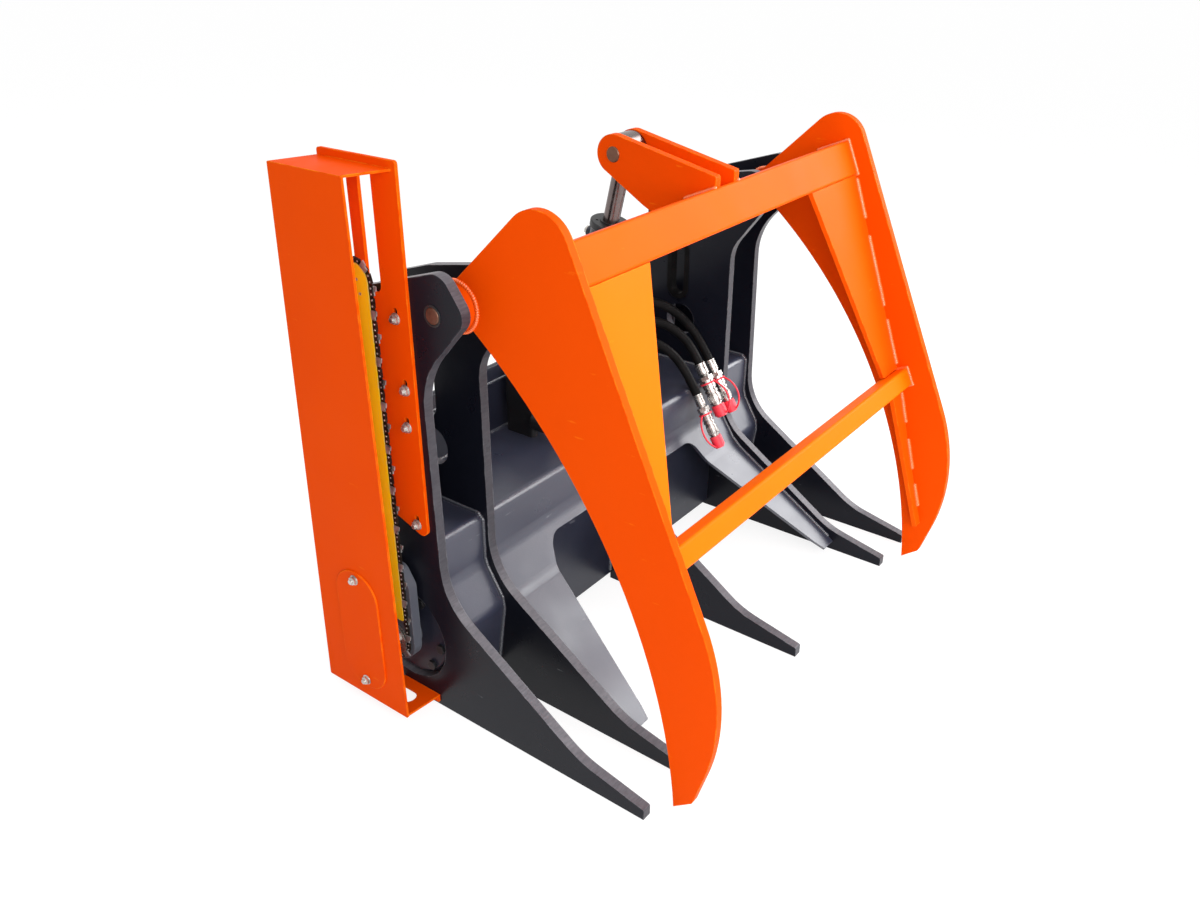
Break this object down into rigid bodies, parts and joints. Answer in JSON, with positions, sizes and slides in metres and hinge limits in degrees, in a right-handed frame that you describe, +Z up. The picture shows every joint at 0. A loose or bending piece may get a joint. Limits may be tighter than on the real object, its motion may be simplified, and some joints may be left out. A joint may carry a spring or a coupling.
{
  "type": "log grapple",
  "caption": "Loader log grapple with curved tines, a hinged jaw worked by a hydraulic cylinder, and a guarded chain saw that swings out to cut the held log.",
  "frame": {"origin": "middle of the attach plate's rear face, where a loader's attach frame meets it", "axes": "+Z up, -Y forward towards the tine tips, +Y out of the attach plate towards the loader, +X to the right seen from the front"},
  "size_m": [1.2519, 0.8906, 1.083],
  "materials": {
    "orange_paint": "semi-gloss orange paint",
    "grey_paint": "semi-gloss dark blue-grey paint",
    "bare_steel": "zinc plated steel",
    "chain_steel": "oiled chain steel",
    "yellow_paint": "amber yellow bar paint",
    "chrome_rod": "hard chrome",
    "cast_housing": "dark cast housing",
    "black_paint": "black",
    "hose_rubber": "matte black rubber",
    "nickel": "nickel plated steel",
    "red_cap": "red soft plastic"
  },
  "bodies": {
    "frame": {"tine_left_outer": "grey_paint", "tine_left_inner": "grey_paint", "tine_centre": "grey_paint", "tine_right_inner": "grey_paint", "tine_right_outer": "grey_paint", "front_sheet": "grey_paint", "bay_sheet_left": "grey_paint", "bay_sheet_right": "grey_paint", "inner_plate": "grey_paint", "attach_plate": "grey_paint", "hook_bar": "grey_paint", "lock_lip": "grey_paint", "jaw_pin_left": "bare_steel", "jaw_pin_right": "bare_steel", "base_cheek_left": "grey_paint", "base_cheek_right": "grey_paint", "base_pin": "bare_steel", "saw_guard": "orange_paint", "guard_bolts": "bare_steel", "guard_cover": "orange_paint", "cover_bolts": "bare_steel", "motor_flange": "grey_paint", "motor_bolts": "bare_steel", "saw_motor": "cast_housing", "selector_valve": "black_paint", "hose_a": "hose_rubber", "hose_b": "hose_rubber", "hose_c": "hose_rubber", "coupler_a": "nickel", "coupler_b": "nickel", "coupler_c": "nickel", "dust_cap_a": "red_cap", "dust_cap_b": "red_cap", "dust_cap_c": "red_cap"},
    "jaw": {"jaw_plate_left": "orange_paint", "jaw_plate_right": "orange_paint", "hinge_boss_left": "orange_paint", "hinge_boss_right": "orange_paint", "upper_tube": "orange_paint", "lower_tube": "orange_paint", "upper_rib_left": "orange_paint", "upper_rib_right": "orange_paint", "lower_rib_left": "orange_paint", "lower_rib_right": "orange_paint", "lug_left": "orange_paint", "lug_right": "orange_paint", "rod_pin": "bare_steel"},
    "barrel": {"barrel": "grey_paint", "gland": "bare_steel"},
    "rod": {"rod": "chrome_rod", "piston": "bare_steel"},
    "saw_arm": {"bar_holder": "grey_paint", "saw_bar": "yellow_paint", "bar_nuts": "bare_steel", "chain_drive_links": "chain_steel", "chain_tie_straps": "chain_steel", "chain_cutters": "chain_steel"},
    "drive": {"drive_rim": "bare_steel"}
  },
  "joints": [
    {"name": "jaw_hinge", "type": "hinge", "parent": "frame", "child": "jaw", "pos_m": [0, -0.28, 0.5405], "axis": [-1, 0, 0], "range_deg": [0, 48]},
    {"name": "barrel_hinge", "type": "hinge", "parent": "frame", "child": "barrel", "pos_m": [0, -0.11, 0.1385], "axis": [-1, 0, 0], "range_deg": [0, 11]},
    {"name": "rod_slide", "type": "slide", "parent": "barrel", "child": "rod", "axis": [0, -0.2324, 0.9726], "range_m": [-0.091, 0]},
    {"name": "saw_swing", "type": "hinge", "parent": "frame", "child": "saw_arm", "pos_m": [-0.607, -0.138, -0.1515], "axis": [1, 0, 0], "range_deg": [0, 90]},
    {"name": "rim_spin", "type": "hinge", "parent": "frame", "child": "drive", "pos_m": [-0.607, -0.138, -0.1515], "axis": [1, 0, 0], "continuous": true}
  ],
  "couplings": [
    {"joint": "barrel_hinge", "follows": "jaw_hinge", "ratio": 0.228},
    {"joint": "rod_slide", "follows": "jaw_hinge", "m_per_rad": -0.1075}
  ]
}
